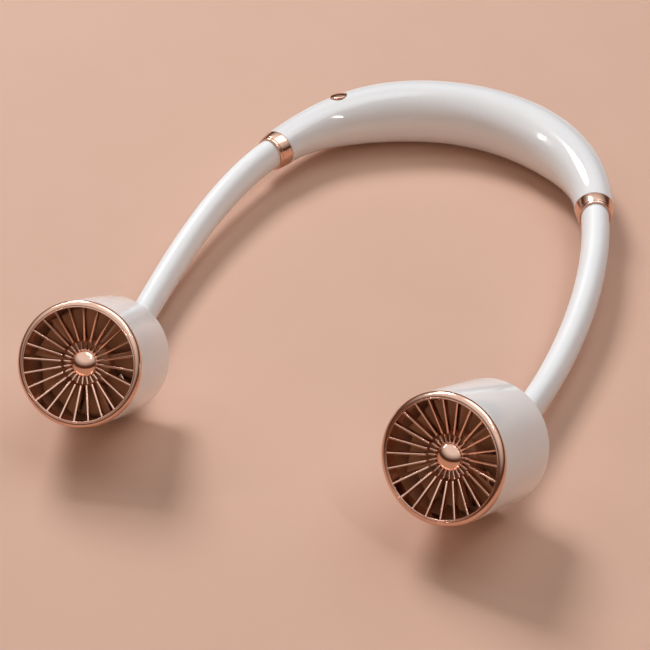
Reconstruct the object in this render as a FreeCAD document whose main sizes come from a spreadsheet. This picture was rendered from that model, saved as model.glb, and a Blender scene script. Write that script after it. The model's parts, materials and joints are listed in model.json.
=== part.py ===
import FreeCAD, Part
import math
import os
import Sketcher
from FreeCAD import Placement, Rotation, Vector

# The neck fan lies on a table: X runs to its right, Y to the back of the neck and Z up. The origin is
# on the table, in the middle of the length. All lengths are in millimetres.

# Sizes. Each one is a cell of the sheet, and every sub-part takes its sizes from these cells.
SIZES = (
    ("overall_length", 296.0, "front rims of the heads to the back of the band"),
    ("head_spacing", 161.6, "between the middles of the two rear covers"),
    ("band_arc_radius", 81.5, "centre line of the neck band"),
    ("band_half_angle", 73.0, "degrees from the middle of the band to each end"),
    ("band_mid_diameter", 30.8, "band in the middle"),
    ("band_end_diameter", 18.2, "band at its ends"),
    ("band_taper_power", 1.7, "how late the band starts to taper"),
    ("band_wall", 1.8, "wall of the band shells"),
    ("band_flat", 0.4, "depth of the flat under the band"),
    ("parting_share", 0.3, "height of the joint of the two shells, of the middle diameter"),
    ("rib_thickness", 1.6, "ribs inside the band"),
    ("screw_radius", 1.0, "shank of the shell screws"),
    ("screw_head_radius", 1.9, "head of the shell screws"),
    ("screw_head_height", 1.2, "head of the shell screws"),
    ("screw_grip", 6.0, "length of thread in a post"),
    ("screw_seat", 2.2, "plastic under a screw head"),
    ("post_wall", 1.3, "plastic round a screw"),
    ("cell_gap", 2.19, "ends of a battery cell to the shell"),
    ("cell_length", 35.0, "battery cell"),
    ("cell_spacing", 2.0, "between the two cells"),
    ("cell_clearance", 2.2, "cells to the inner screw posts, along the band"),
    ("board_clearance", 3.9, "control board to the screw posts, along the band"),
    ("button_lean_angle", 14.0, "degrees that the button leans outwards"),
    ("button_diameter", 8.0, "button cap"),
    ("button_crown", 0.6, "rise of the domed top"),
    ("button_proud", 0.3, "rise of the rim of the cap over the band"),
    ("button_travel", 0.6, "press of the button"),
    ("button_flange", 0.8, "width and thickness of the flange that holds the button in"),
    ("board_length", 28.0, "control board"),
    ("board_width", 12.0, "control board"),
    ("board_thickness", 1.2, "control board"),
    ("stem_length", 1.17, "flange of the button to the plunger"),
    ("switch_width", 6.0, "push switch"),
    ("switch_height", 3.2, "push switch"),
    ("plunger_radius", 1.6, "plunger of the switch"),
    ("socket_width", 8.9, "charging socket"),
    ("socket_height", 3.2, "charging socket"),
    ("socket_depth", 9.0, "charging socket"),
    ("socket_wall", 0.4, "sheet of the charging socket"),
    ("harness_diameter", 2.0, "wires inside the band"),
    ("harness_share", 0.84, "place of the wires, of the inner radius of the band"),
    ("harness_lean_angle", 60.0, "degrees that the wires lie inwards from the top"),
    ("collar_length", 7.0, "collar at each end of the band"),
    ("collar_tip_width", 14.8, "collar where the arm leaves it"),
    ("collar_tip_height", 17.4, "collar where the arm leaves it"),
    ("collar_recess", 3.0, "depth of the sleeve in the collar"),
    ("collar_edge", 0.5, "round of the collar's edges"),
    ("spigot_length", 5.0, "plug of the collar in the band"),
    ("arm_root_width", 12.6, "sleeve at the collar"),
    ("arm_root_height", 15.2, "sleeve at the collar"),
    ("arm_tip_width", 9.8, "sleeve at the head"),
    ("arm_tip_height", 11.6, "sleeve at the head"),
    ("left_root_handle", 61.0, "how long the left arm keeps the direction of the collar"),
    ("left_tip_handle", 28.0, "how long the left arm keeps the direction of the head"),
    ("right_root_handle", 68.0, "how long the right arm keeps the direction of the collar"),
    ("right_tip_handle", 36.0, "how long the right arm keeps the direction of the head"),
    ("core_diameter", 6.0, "bendable core of the arm"),
    ("core_wall", 1.0, "bendable core of the arm"),
    ("core_insert", 6.0, "length of core in the band and in the head"),
    ("lead_diameter", 2.2, "motor lead inside the core"),
    ("lead_tail", 1.0, "lead that shows at the inner end of the core"),
    ("left_tilt_angle", 34.5, "degrees that the left head looks up"),
    ("left_toe_angle", 9.4, "degrees that the left head looks inwards"),
    ("right_tilt_angle", 28.6, "degrees that the right head looks up"),
    ("right_toe_angle", 12.3, "degrees that the right head looks inwards"),
    ("head_diameter", 50.0, "drum"),
    ("head_depth", 43.0, "rim to back of a head"),
    ("head_wall", 2.0, "drum wall"),
    ("head_edge", 1.5, "round of the drum's back edge"),
    ("rim_round", 2.5, "round of the front rim"),
    ("rim_lip", 0.3, "flat at the inner edge of the rim"),
    ("rim_skirt", 4.0, "length of the rim inside the drum"),
    ("spoke_count", 24, "spokes of the grille"),
    ("spoke_thickness", 0.8, "spokes of the grille"),
    ("spoke_depth", 3.0, "spokes of the grille, front to back"),
    ("spoke_drop", 0.5, "outer end of the spokes behind the rim"),
    ("dish_depth", 5.6, "depth of the dish of spokes"),
    ("step_radius", 8.8, "where the spokes step down"),
    ("step_width", 0.5, "slope of that step"),
    ("step_drop", 1.8, "height of that step"),
    ("hub_seat_radius", 5.4, "disc that joins the spokes"),
    ("hub_seat_depth", 1.8, "disc that joins the spokes"),
    ("hub_cap_radius", 5.2, "polished cap"),
    ("hub_cap_rim", 1.4, "straight edge of the cap"),
    ("hub_cap_height", 3.6, "polished cap"),
    ("hub_pin_radius", 1.0, "pin of the cap"),
    ("hub_pin_length", 1.5, "pin of the cap"),
    ("impeller_gap", 1.4, "grille to impeller"),
    ("impeller_length", 13.0, "hub of the impeller"),
    ("impeller_hub_wall", 1.4, "hub of the impeller"),
    ("impeller_nose", 2.0, "round of the hub's front edge"),
    ("impeller_web", 5.0, "solid front of the hub"),
    ("blade_count", 9, "blades"),
    ("blade_thickness", 1.0, "blades"),
    ("blade_root_run", 3.2, "half the blade's width at the hub, round the axis"),
    ("blade_root_rise", 4.8, "half the blade's width at the hub, along the axis"),
    ("blade_tip_run", 7.0, "half the blade's width at the tip, round the axis"),
    ("blade_tip_rise", 3.4, "half the blade's width at the tip, along the axis"),
    ("blade_gap", 0.7, "blade tips to the drum"),
    ("motor_radius", 7.4, "motor can"),
    ("motor_length", 14.0, "motor can"),
    ("motor_wall", 0.8, "motor can"),
    ("motor_gap", 0.8, "motor can to the impeller, and impeller to the mount"),
    ("air_gap", 0.5, "magnet to armature"),
    ("magnet_thickness", 1.0, "ring magnet"),
    ("armature_end_gap", 2.0, "armature to the ends of the can"),
    ("shaft_radius", 1.0, "motor shaft"),
    ("bush_wall", 1.2, "shaft bush"),
    ("bush_length", 1.8, "shaft bush"),
    ("end_cap_thickness", 2.2, "motor end cap"),
    ("mount_wall", 1.6, "rings of the motor mount"),
    ("mount_length", 5.0, "motor mount"),
    ("vane_count", 5, "vanes of the motor mount"),
    ("vane_thickness", 1.4, "vanes of the motor mount"),
    ("cover_thickness", 2.5, "rear cover"),
    ("boss_radius", 6.6, "socket of the arm on the rear cover"),
    ("boss_length", 3.0, "socket of the arm behind the cover"),
    ("boss_inside", 1.5, "socket of the arm inside the cover"),
    ("slot_count", 20, "intake slots"),
    ("slot_width", 1.2, "intake slots"),
    ("slot_start", 8.6, "inner end of the intake slots"),
    ("slot_end", 16.2, "outer end of the intake slots"),
    ("cover_screw_count", 3, "screws of the rear cover"),
    ("cover_screw_radius", 0.9, "shank of these screws"),
    ("cover_screw_head", 1.7, "radius of their heads"),
    ("cover_screw_height", 1.2, "height of their heads"),
    ("cover_grip_share", 0.54, "thread of these screws, of the length of the posts"),
    ("cover_post_radius", 3.0, "posts in the drum"),
    ("slip_gap", 0.1, "between parts that slip into each other"),
    ("running_gap", 0.03, "shaft in its bush"),
    ("button_gap", 0.3, "button in its hole"),
    ("plunger_gap", 0.15, "plunger in the switch"),
    ("overrun", 2.0, "how far a cutting shape runs past what it cuts"),
)


class Size:
    """A number together with the expression of sheet cells that it comes from."""

    def __init__(self, value, text):
        self.value = value
        self.text = text

    def mix(self, other, sign, value, swap=False):
        other_text = other.text if isinstance(other, Size) else repr(other)
        first, second = (other_text, self.text) if swap else (self.text, other_text)
        return Size(value, f"({first} {sign} {second})")

    def __float__(self):
        return float(self.value)

    def __add__(self, other):
        return self.mix(other, "+", float(self) + float(other))

    def __radd__(self, other):
        return self.mix(other, "+", float(other) + float(self), True)

    def __sub__(self, other):
        return self.mix(other, "-", float(self) - float(other))

    def __rsub__(self, other):
        return self.mix(other, "-", float(other) - float(self), True)

    def __mul__(self, other):
        return self.mix(other, "*", float(self) * float(other))

    def __rmul__(self, other):
        return self.mix(other, "*", float(other) * float(self), True)

    def __truediv__(self, other):
        return self.mix(other, "/", float(self) / float(other))

    def __neg__(self):
        return self * -1

    def root(self):
        return Size(math.sqrt(float(self)), f"sqrt({self.text})")


class Sizes:
    pass


doc = FreeCAD.newDocument("neck_fan")
sheet = doc.addObject("Spreadsheet::Sheet", "sizes")
size = Sizes()
for row, (alias, number, note) in enumerate(SIZES, 1):
    sheet.set(f"A{row}", note)
    sheet.set(f"B{row}", str(number))
    sheet.setAlias(f"B{row}", alias)
    setattr(size, alias, Size(number, f"sizes.{alias}"))
doc.recompute()

UP = Vector(0, 0, 1)
FULL_TURN = 360
OVAL_POINTS = 24
BAND_STATIONS = 17
ARM_STATIONS = 13
parts = []


def keep(label, thing):
    """Names a finished sub-part and lists it for writing."""
    thing.Label = label
    parts.append(thing)
    return thing


# Helpers for bodies: sketches whose every size is bound to the sheet.
def origin_feature(body, role):
    return [item for item in body.Origin.OriginFeatures if item.Role == role][0]


def new_body(label, placement):
    body = keep(label, doc.addObject("PartDesign::Body", label))
    body.Placement = placement
    return body


def new_sketch(body, role, lift=None):
    sketch = body.newObject("Sketcher::SketchObject", body.Name + "_sketch")
    sketch.AttachmentSupport = [(origin_feature(body, role), "")]
    sketch.MapMode = "FlatFace"
    if lift is not None:
        sketch.AttachmentOffset = Placement(Vector(0, 0, float(lift)), Rotation())
        sketch.setExpression("AttachmentOffset.Base.z", lift.text)
    return sketch


def pin_point(sketch, item, end, across, along):
    for kind, value, axis in (("DistanceX", across, -2), ("DistanceY", along, -1)):
        if isinstance(value, Size):
            rule = Sketcher.Constraint(kind, -1, 1, item, end, float(value))
            sketch.setExpression(f"Constraints[{sketch.addConstraint(rule)}]", value.text)
        else:
            sketch.addConstraint(Sketcher.Constraint("PointOnObject", item, end, axis))


def add_polygon(sketch, corners):
    spots = [Vector(float(across), float(along), 0) for across, along in corners]
    last = len(spots) - 1
    for i, spot in enumerate(spots):
        sketch.addGeometry(Part.LineSegment(spot, spots[0 if i == last else i + 1]))
    for i in range(len(spots)):
        after = 0 if i == last else i + 1
        sketch.addConstraint(Sketcher.Constraint("Coincident", i, 2, after, 1))
    for i, (across, along) in enumerate(corners):
        pin_point(sketch, i, 1, across, along)


def add_circle(sketch, across, along, radius):
    middle = Vector(float(across), float(along), 0)
    item = sketch.addGeometry(Part.Circle(middle, UP, float(radius)))
    pin_point(sketch, item, 3, across, along)
    rule = sketch.addConstraint(Sketcher.Constraint("Radius", item, float(radius)))
    sketch.setExpression(f"Constraints[{rule}]", radius.text)


def add_feature(body, kind, sketch):
    feature = body.newObject("PartDesign::" + kind, f"{body.Name}_{kind.lower()}")
    if sketch is not None:
        feature.Profile = sketch
        sketch.Visibility = False
    return feature


def turn(body, corners, kind="Revolution"):
    """Turns an outline of (radius, height) corners round the axis of the body."""
    sketch = new_sketch(body, "XZ_Plane")
    add_polygon(sketch, corners)
    feature = add_feature(body, kind, sketch)
    feature.ReferenceAxis = (sketch, ["V_Axis"])
    feature.Angle = FULL_TURN
    doc.recompute()
    return feature


def extrude(body, kind, sketch, length, symmetric=False, backwards=False):
    feature = add_feature(body, kind, sketch)
    feature.Length = float(length)
    feature.setExpression("Length", length.text)
    if symmetric:
        feature.SideType = "Symmetric"
    feature.Reversed = backwards
    doc.recompute()
    return feature


def repeat(body, features, count):
    pattern = add_feature(body, "PolarPattern", None)
    pattern.Originals = features
    pattern.Axis = (origin_feature(body, "Z_Axis"), [""])
    pattern.Angle = FULL_TURN
    pattern.Occurrences = int(float(count))
    pattern.setExpression("Occurrences", count.text)
    body.Tip = pattern
    doc.recompute()
    return pattern


def round_edge(body, radius, edge_radius, height):
    """Rounds the circular edge of a given radius and height."""
    base = body.Tip
    names = []
    for i, edge in enumerate(base.Shape.Edges, 1):
        curve = edge.Curve
        if not isinstance(curve, Part.Circle):
            continue
        error = abs(curve.Radius - float(edge_radius)) + abs(curve.Center.z - float(height))
        if error < float(size.slip_gap) / 2:
            names.append(f"Edge{i}")
    feature = add_feature(body, "Fillet", None)
    feature.Base = (base, names)
    feature.Radius = float(radius)
    feature.setExpression("Radius", radius.text)
    doc.recompute()
    return feature


# Helpers for the swept forms, whose sections change along a path.
def oval(spot, side, up, half_width, half_height):
    points = []
    for i in range(OVAL_POINTS):
        angle = 2 * math.pi * i / OVAL_POINTS
        points.append(spot + side * (half_width * math.cos(angle)) + up * (half_height * math.sin(angle)))
    curve = Part.BSplineCurve()
    curve.interpolate(points, PeriodicFlag=True)
    return Part.Wire([curve.toShape()])


def sweep(stations, radii, straight=False):
    """A solid through ovals: stations are (spot, side, up), radii are (half width, half height)."""
    wires = [oval(*station, *pair) for station, pair in zip(stations, radii)]
    return Part.makeLoft(wires, True, straight)


def feature_of(label, shape):
    thing = keep(label, doc.addObject("Part::Feature", label))
    thing.Shape = shape
    return thing


def slab(middle, along, across, up, lengths):
    """A box of given lengths round its middle, along three directions."""
    box = Part.makeBox(*lengths, Vector(*[-length / 2 for length in lengths]))
    box.Placement = Placement(middle, Rotation(along, across, up, "ZXY"))
    return box


def rod(foot, direction, radius, length):
    return Part.makeCylinder(radius, length, foot, direction)


# The band: a tube round an arc, thick in the middle, in two shells.
arc = float(size.band_arc_radius)
half_angle = float(size.band_half_angle)
mid_radius = float(size.band_mid_diameter) / 2
end_radius = float(size.band_end_diameter) / 2
wall = float(size.band_wall)
slip = float(size.slip_gap)
overrun = float(size.overrun)
band_z = mid_radius - float(size.band_flat)
arc_y = float(size.overall_length) / 2 - mid_radius - arc
parting = float(size.band_mid_diameter) * float(size.parting_share)


def band_frame(degrees):
    """Spot, tangent to the right and radial direction of the band's centre line."""
    angle = math.radians(degrees)
    radial = Vector(math.sin(angle), math.cos(angle), 0)
    tangent = Vector(math.cos(angle), -math.sin(angle), 0)
    return Vector(0, arc_y, band_z) + radial * arc, tangent, radial


def band_radius(degrees):
    share = min(abs(degrees) / half_angle, 1) ** float(size.band_taper_power)
    return end_radius + (mid_radius - end_radius) * (1 + math.cos(math.pi * share)) / 2


def band_angles(limit):
    return [limit * (2 * i / (BAND_STATIONS - 1) - 1) for i in range(BAND_STATIONS)]


def band_tube(inset, extra):
    """A sweep along the band, set in from its surface."""
    stations = []
    radii = []
    for degrees in band_angles(half_angle):
        spot, tangent, radial = band_frame(degrees)
        stations.append((spot, radial, UP))
        radii.append((band_radius(degrees) - inset,) * 2)
    if extra:
        first = stations[0][0] - band_frame(-half_angle)[1] * extra
        last = stations[-1][0] + band_frame(half_angle)[1] * extra
        stations = [(first, *stations[0][1:]), *stations, (last, *stations[-1][1:])]
        radii = [radii[0], *radii, radii[-1]]
    return sweep(stations, radii)


outer_tube = band_tube(0, 0)
cavity = band_tube(wall, overrun)
safe_cavity = band_tube(wall + slip, overrun)
wall_middle = band_tube(wall / 2, overrun)
reach = float(size.overall_length)
under = Part.makeBox(reach, reach, reach, Vector(-reach / 2, 0, -reach))
above = Part.makeBox(reach, reach, reach, Vector(-reach / 2, 0, parting))
trimmed_tube = outer_tube.cut(under)
skin = trimmed_tube.cut(cavity)
upper = skin.common(above)
lower = skin.cut(above)

# Places along the band, in degrees from its middle: a cell, the inner screws, the board with the button
# and the outer screws. A cell is straight, so its ends come nearer to the outside of the band.
screw_radius = float(size.screw_radius)
head_radius = float(size.screw_head_radius)
post_radius = screw_radius + float(size.post_wall)
well_radius = head_radius + 2 * slip
post_reach = well_radius + float(size.post_wall)
cell_length = float(size.cell_length)
cell_angle = math.degrees((cell_length + float(size.cell_spacing)) / 2 / arc)
cell_bow = math.sqrt(arc ** 2 + (cell_length / 2) ** 2) - arc
cell_end = cell_angle + math.degrees(math.atan(cell_length / 2 / arc))
cell_radius = band_radius(cell_end) - wall - cell_bow - float(size.cell_gap)
cell_corner = cell_angle + math.degrees(math.atan(cell_length / 2 / (arc - cell_radius)))
near = cell_corner + math.degrees((post_reach + float(size.cell_clearance)) / arc)
board_length = float(size.board_length)
board_run = math.degrees((post_reach + float(size.board_clearance) + board_length / 2) / arc)
button_angle = near + board_run
far = button_angle + board_run

# Screw posts in both shells.
seat_z = parting - float(size.screw_seat)
screws = []
upper_holes = []
lower_holes = []
for degrees in (-far, -near, near, far):
    spot = band_frame(degrees)[0]
    foot = Vector(spot.x, spot.y, 0)
    tall = rod(foot + UP * parting, UP, post_radius, 2 * mid_radius)
    upper = upper.fuse(tall.common(wall_middle))
    short = rod(foot - UP * overrun, UP, post_reach, parting + overrun)
    lower = lower.fuse(short.common(wall_middle))
    grip = float(size.screw_grip)
    upper_holes.append(rod(foot + UP * (parting - overrun), UP, screw_radius + slip / 2, grip + 2 * overrun))
    lower_holes.append(rod(foot - UP * overrun, UP, screw_radius + slip, parting + 2 * overrun))
    lower_holes.append(rod(foot - UP * overrun, UP, well_radius, seat_z + overrun))
    head = rod(foot + UP * (seat_z - float(size.screw_head_height)), UP, head_radius,
               float(size.screw_head_height))
    shank = rod(foot + UP * seat_z, UP, screw_radius, float(size.screw_seat) + grip)
    screws.append(head.fuse(shank).removeSplitter())

# Two battery cells, tangent to the band, on ribs of the lower shell.
rib = float(size.rib_thickness)
cells = []
for side in (-1, 1):
    spot, tangent, radial = band_frame(side * cell_angle)
    cells.append(rod(spot - tangent * (cell_length / 2), tangent, cell_radius, cell_length))
    bed = rod(spot - tangent * cell_length, tangent, cell_radius + slip, 2 * cell_length)
    for place_share in (-1 / 3, 1 / 3):
        middle = spot + tangent * (cell_length * place_share)
        low = slab(middle - UP * reach / 2 - UP * (band_z - parting), tangent, radial, UP,
                   (rib, reach, reach))
        lower = lower.fuse(low.common(wall_middle).cut(bed))

# The button: a domed cap with a flange inside the shell and a stem that meets the plunger of the switch.
button_spot, board_along, board_radial = band_frame(-button_angle)
lean = math.radians(float(size.button_lean_angle))
board_up = board_radial * math.sin(lean) + UP * math.cos(lean)
board_out = board_radial * math.cos(lean) - UP * math.sin(lean)


def from_button(height, out=0, along=0):
    return button_spot + board_up * height + board_out * out + board_along * along


def board_slab(bottom, top, out, width, length, along=0):
    """A box beside the board: between two heights, with a middle, a width outwards and a length."""
    middle = from_button((bottom + top) / 2, out, along)
    return slab(middle, board_along, board_up.cross(board_along), board_up, (length, width, top - bottom))


button_outer = band_radius(button_angle)
button_radius = float(size.button_diameter) / 2
flange = float(size.button_flange)
flange_radius = button_radius + flange
button_gap = float(size.button_gap)
flange_end = button_angle + math.degrees(flange_radius / arc)
inner_radius = band_radius(flange_end) - wall
flange_top = math.sqrt(inner_radius ** 2 - flange_radius ** 2) - button_gap
flange_bottom = flange_top - flange
plunger_top = flange_bottom - float(size.stem_length)
plunger_radius = float(size.plunger_radius)
cap_top = button_outer + float(size.button_proud)
crown = float(size.button_crown)
dome_radius = (button_radius ** 2 + crown ** 2) / (2 * crown)
cap = rod(UP * flange_top, UP, button_radius, cap_top + crown - flange_top)
cap = cap.common(Part.makeSphere(dome_radius, UP * (cap_top + crown - dome_radius)))
button = cap.fuse(rod(UP * flange_bottom, UP, flange_radius, flange))
button = button.fuse(rod(UP * plunger_top, UP, plunger_radius - slip, flange_bottom - plunger_top))
button = button.removeSplitter()
button_place = Placement(button_spot, Rotation(board_along, board_up.cross(board_along), board_up, "ZXY"))
upper_holes.append(rod(from_button(flange_top), board_up, button_radius + button_gap, 2 * mid_radius))

# The push switch under the button, and the control board that carries it on stands of the lower shell.
travel = float(size.button_travel)
plunger_gap = float(size.plunger_gap)
switch_width = float(size.switch_width)
switch_top = plunger_top - travel - plunger_gap
board_top = switch_top - float(size.switch_height)
board_bottom = board_top - float(size.board_thickness)
board_width = float(size.board_width)
board = board_slab(board_bottom, board_top, 0, board_width, board_length)
for place_share in (-1 / 3, 1 / 3):
    stand = board_slab(board_bottom - reach, board_bottom, 0, board_width, rib, board_length * place_share)
    lower = lower.fuse(stand.common(wall_middle).cut(above)).fuse(stand.common(safe_cavity))

switch_well = 2 * travel + 2 * plunger_gap
switch = board_slab(board_top, switch_top, 0, switch_width, switch_width)
well = rod(from_button(switch_top - switch_well), board_up, plunger_radius + plunger_gap,
           switch_well + overrun)
switch = switch.cut(well)
plunger_foot = switch_top - travel
plunger = rod(from_button(plunger_foot), board_up, plunger_radius, plunger_top - plunger_foot)

# The charging socket is a bent sheet with a tongue, and its mouth is level with the band's outer face.
socket_width = float(size.socket_width)
socket_height = float(size.socket_height)
socket_depth = float(size.socket_depth)
socket_wall = float(size.socket_wall)
socket_top = board_bottom
socket_middle = socket_top - socket_height / 2
mouth = math.sqrt(button_outer ** 2 - socket_middle ** 2) - button_gap


def stadium(gap, start, end):
    """A rod of the socket's outline, grown by a gap, between two distances outwards."""
    round_radius = socket_height / 2 + gap
    half = socket_width / 2 - socket_height / 2
    solid = board_slab(socket_middle - round_radius, socket_middle + round_radius, (start + end) / 2,
                       end - start, 2 * half)
    for direction in (-1, 1):
        foot = from_button(socket_middle, start, direction * half)
        solid = solid.fuse(rod(foot, board_out, round_radius, end - start))
    return solid.removeSplitter()


socket = stadium(0, mouth - socket_depth, mouth)
socket = socket.cut(stadium(-socket_wall, mouth - socket_depth + socket_wall, mouth + overrun))
tongue = socket_wall * 2
socket = socket.fuse(board_slab(socket_middle - tongue / 2, socket_middle + tongue / 2,
                                mouth - socket_depth / 2 - tongue / 2, socket_depth - tongue,
                                socket_width - 2 * socket_height / 2 - 2 * tongue)).removeSplitter()
socket_hole = stadium(2 * slip, mouth - socket_depth / 2, mouth + mid_radius)
upper_holes.append(socket_hole)
lower_holes.append(socket_hole)

# The wires lie inside the band, on its neck side.
harness_limit = far + (half_angle - far) / 3
harness_lean = math.radians(float(size.harness_lean_angle))
harness_spots = []
for degrees in band_angles(harness_limit):
    spot, tangent, radial = band_frame(degrees)
    aim = radial * -math.sin(harness_lean) + UP * math.cos(harness_lean)
    harness_spots.append(spot + aim * ((band_radius(degrees) - wall) * float(size.harness_share)))
harness_line = Part.BSplineCurve()
harness_line.interpolate(harness_spots)
harness_start = harness_line.tangent(harness_line.FirstParameter)[0]
harness_ring = Part.makeCircle(float(size.harness_diameter) / 2, harness_spots[0], harness_start)
harness = Part.Wire([harness_line.toShape()]).makePipeShell([Part.Wire([harness_ring])], True, False)

for hole in upper_holes:
    upper = upper.cut(hole)
for hole in lower_holes:
    lower = lower.cut(hole)
feature_of("band_upper_shell", upper)
feature_of("band_lower_shell", lower)
feature_of("band_screws", Part.makeCompound(screws))
feature_of("battery_cells", Part.makeCompound(cells))
feature_of("control_board", board)
feature_of("push_switch", switch)
feature_of("switch_plunger", plunger)
feature_of("power_button", button).Placement = button_place
feature_of("charging_socket", socket)
feature_of("wire_harness", harness)

# Each side: a collar, an arm and a head. The head rests with its back edge on the table.
head_radius_number = float(size.head_diameter) / 2
edge = float(size.head_edge)
rim = float(size.rim_round)
core_radius = float(size.core_diameter) / 2
insert = float(size.core_insert)
recess = float(size.collar_recess)
collar_length = float(size.collar_length)
boss_length = float(size.boss_length)

# Heights in a head are counted from the back face, along its axis to the front.
head_radius_size = size.head_diameter / 2
duct_radius = head_radius_size - size.head_wall
drum_front = size.head_depth - size.rim_round
rim_inner = head_radius_size - size.rim_round - size.rim_lip
spoke_low = size.head_depth - size.dish_depth - size.step_drop
grille_back = spoke_low - size.hub_seat_depth
impeller_front = grille_back - size.impeller_gap
impeller_back = impeller_front - size.impeller_length
hub_hollow = impeller_front - size.impeller_web
motor_front = hub_hollow - size.motor_gap
motor_back = motor_front - size.motor_length
mount_front = impeller_back - size.motor_gap
mount_back = mount_front - size.mount_length
can_inner = size.motor_radius - size.motor_wall
hub_inner = size.motor_radius + size.motor_gap
hub_outer = hub_inner + size.impeller_hub_wall
post_ring = duct_radius - size.cover_post_radius + size.slip_gap * 2
cover_post_top = mount_back
cover_grip = (cover_post_top - size.cover_thickness) * size.cover_grip_share


def head_axis(side, tilt, toe):
    tilt = math.radians(float(tilt))
    toe = math.radians(float(toe))
    return Vector(-side * math.sin(toe) * math.cos(tilt), -math.cos(toe) * math.cos(tilt), math.sin(tilt))


def head_placement(side, axis):
    lean_back = axis.z
    level = math.sqrt(1 - lean_back ** 2)
    z = (head_radius_number - edge) * level + edge - edge * lean_back
    rim_ring = head_radius_number - rim
    front = rim_ring * math.sqrt(1 - axis.y ** 2) + rim
    y = -float(size.overall_length) / 2 + front - float(drum_front) * axis.y
    across = UP.cross(axis).normalize()
    back = Vector(side * float(size.head_spacing) / 2, y, z)
    return Placement(back, Rotation(across, axis.cross(across), axis, "ZXY"))


def arm_stations(handles, lengths):
    """Spots with their side and up directions: straight ends and a smooth bend between them."""
    start, after_start, before_end, end = handles
    heading = (after_start - start).normalize()
    axis = (end - before_end).normalize()
    curve = Part.BezierCurve()
    curve.setPoles(list(handles))
    rows = []
    for length in lengths[0]:
        rows.append((start - heading * length, heading, 0))
    for i in range(ARM_STATIONS):
        share = i / (ARM_STATIONS - 1)
        rows.append((curve.value(share), curve.tangent(share)[0], share))
    for length in lengths[1]:
        rows.append((end + axis * length, axis, 1))
    found = []
    for spot, tangent, share in rows:
        across = tangent.cross(UP).normalize()
        found.append((spot, across, across.cross(tangent), share))
    return found


def round_sweep(stations, radius):
    return sweep([row[:3] for row in stations], [(radius, radius)] * len(stations))


def inset(radii, depth):
    return tuple(radius - depth for radius in radii)


def make_collar(name, spot, heading):
    """A polished ring between the band and the arm, with a plug into the band."""
    tip = spot + heading * collar_length
    across = heading.cross(UP).normalize()
    tip_radii = (float(size.collar_tip_width) / 2, float(size.collar_tip_height) / 2)
    bevel = float(size.collar_edge)
    spots = (spot, spot + heading * bevel, tip - heading * bevel, tip)
    root_radii = (end_radius, end_radius)
    body = sweep([(place, across, UP) for place in spots],
                 [inset(root_radii, bevel), root_radii, tip_radii, inset(tip_radii, bevel)], True)
    plug = float(size.spigot_length)
    body = body.fuse(rod(spot - heading * plug, heading, end_radius - wall - slip, plug + bevel))
    pocket_radii = (float(size.arm_root_width) / 2 + slip, float(size.arm_root_height) / 2 + slip)
    pocket = sweep([(tip - heading * recess, across, UP), (tip + heading * overrun, across, UP)],
                   [pocket_radii, pocket_radii], True)
    bore = rod(spot - heading * (plug + overrun), heading, core_radius + slip,
               plug + collar_length + 2 * overrun)
    feature_of(name, body.cut(pocket).cut(bore).removeSplitter())


def make_arm(side_name, spot, heading, place, axis, root_handle, tip_handle):
    """A soft sleeve, a bendable core tube and the lead inside it."""
    start = spot + heading * collar_length
    end = place.multVec(Vector(0, 0, -boss_length))
    back = collar_length + insert
    lead_end = boss_length + float(motor_back) - float(size.slip_gap) * 2
    handles = (start, start + heading * float(root_handle), end - axis * float(tip_handle), end)
    sleeve_rows = arm_stations(handles, ((recess,), ()))
    core_rows = arm_stations(handles, ((back, back / 2), (insert / 2, insert)))
    tail = back + float(size.lead_tail)
    lead_rows = arm_stations(handles, ((tail, tail / 2), (lead_end / 2, lead_end)))
    wide = (float(size.arm_root_width) / 2, float(size.arm_tip_width) / 2)
    tall = (float(size.arm_root_height) / 2, float(size.arm_tip_height) / 2)
    radii = []
    for row in sleeve_rows:
        share = row[3]
        radii.append((wide[0] + (wide[1] - wide[0]) * share, tall[0] + (tall[1] - tall[0]) * share))
    sleeve = sweep([row[:3] for row in sleeve_rows], radii)
    sleeve = sleeve.cut(round_sweep(core_rows, core_radius + slip))
    bore_rows = arm_stations(handles, ((back + overrun, back / 2), (insert / 2, insert + overrun)))
    core = round_sweep(core_rows, core_radius).cut(
        round_sweep(bore_rows, core_radius - float(size.core_wall)))
    feature_of(side_name + "_arm_sleeve", sleeve)
    feature_of(side_name + "_arm_core", core)
    feature_of(side_name + "_motor_lead", round_sweep(lead_rows, float(size.lead_diameter) / 2))


def make_drum(name, place):
    body = new_body(name, place)
    turn(body, ((duct_radius, 0), (head_radius_size, 0), (head_radius_size, drum_front),
                (duct_radius, drum_front)))
    round_edge(body, size.head_edge, head_radius_size, 0)
    sketch = new_sketch(body, "XY_Plane", size.cover_thickness)
    add_circle(sketch, post_ring, 0, size.cover_post_radius)
    post = extrude(body, "Pad", sketch, cover_post_top - size.cover_thickness)
    sketch = new_sketch(body, "XY_Plane", size.cover_thickness)
    add_circle(sketch, post_ring, 0, size.cover_screw_radius + size.slip_gap / 2)
    hole = extrude(body, "Pocket", sketch, cover_grip + size.slip_gap, backwards=True)
    repeat(body, [post, hole], size.cover_screw_count)


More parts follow.
